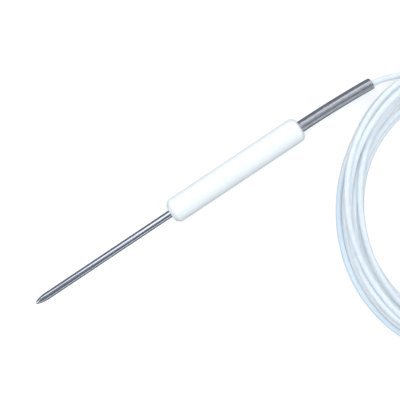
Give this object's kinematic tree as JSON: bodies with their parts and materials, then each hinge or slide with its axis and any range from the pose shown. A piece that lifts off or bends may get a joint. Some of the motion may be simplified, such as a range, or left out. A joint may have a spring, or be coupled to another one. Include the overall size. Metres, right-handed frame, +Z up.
{
  "type": "resistance temperature sensor",
  "caption": "Penetration temperature probe: pointed steel stem with a resistance element, white round handle, spring strain relief and thin white cable wound in a loose coil.",
  "frame": {"origin": "on the surface that the probe lies on, under the middle of the stem, handle and spring together", "axes": "+X from the point towards the cable, +Z up, +Y to the left of +X seen from above"},
  "size_m": [0.2853, 0.1651, 0.0127],
  "materials": {
    "stem_steel": "drawn stainless steel with fine lengthwise marks",
    "collar_steel": "turned stainless steel",
    "spring_steel": "dull stainless spring wire",
    "handle_plastic": "smooth white fluoropolymer",
    "potting": "cast resin",
    "powder": "packed oxide powder",
    "element_ceramic": "fired alumina",
    "seal_glass": "fused glass",
    "platinum": "bare platinum",
    "inner_insulation": "extruded fluoropolymer",
    "wire": "tinned copper",
    "crimp_metal": "tinned copper barrel",
    "end_sleeve": "shrunk fluoropolymer",
    "cable_jacket": "milky translucent fluoropolymer",
    "core_red": "extruded fluoropolymer",
    "core_white": "extruded fluoropolymer"
  },
  "bodies": {
    "root": {"cable_coil": "cable_jacket", "cable_conductor_1": "wire", "cable_conductor_2": "wire", "cable_conductor_3": "wire", "cable_core_1": "core_red", "cable_core_2": "core_red", "cable_core_3": "core_white", "cable_ferrule": "collar_steel", "cable_jacket_end": "cable_jacket", "cable_lead": "cable_jacket", "cable_tail": "cable_jacket", "element_body": "element_ceramic", "element_front_seal": "seal_glass", "element_leads": "platinum", "element_rear_seal": "seal_glass", "element_windings": "platinum", "flying_lead_1": "core_red", "flying_lead_2": "core_red", "flying_lead_3": "core_white", "handle": "handle_plastic", "handle_potting": "potting", "inner_conductor_1": "wire", "inner_conductor_2": "wire", "inner_conductor_3": "wire", "inner_lead_1": "inner_insulation", "inner_lead_2": "inner_insulation", "inner_lead_3": "inner_insulation", "jacket_end_sleeve": "end_sleeve", "lead_joint_double": "platinum", "lead_joint_single": "platinum", "point_plug": "stem_steel", "sheath_collar": "collar_steel", "sheath_filling": "powder", "sheath_tube": "stem_steel", "splice_crimp_1": "crimp_metal", "splice_crimp_2": "crimp_metal", "splice_crimp_3": "crimp_metal", "splice_sleeve_1": "end_sleeve", "splice_sleeve_2": "end_sleeve", "splice_sleeve_3": "end_sleeve", "strain_relief_spring": "spring_steel", "tinned_end_1": "wire", "tinned_end_2": "wire", "tinned_end_3": "wire"}
  },
  "joints": []
}
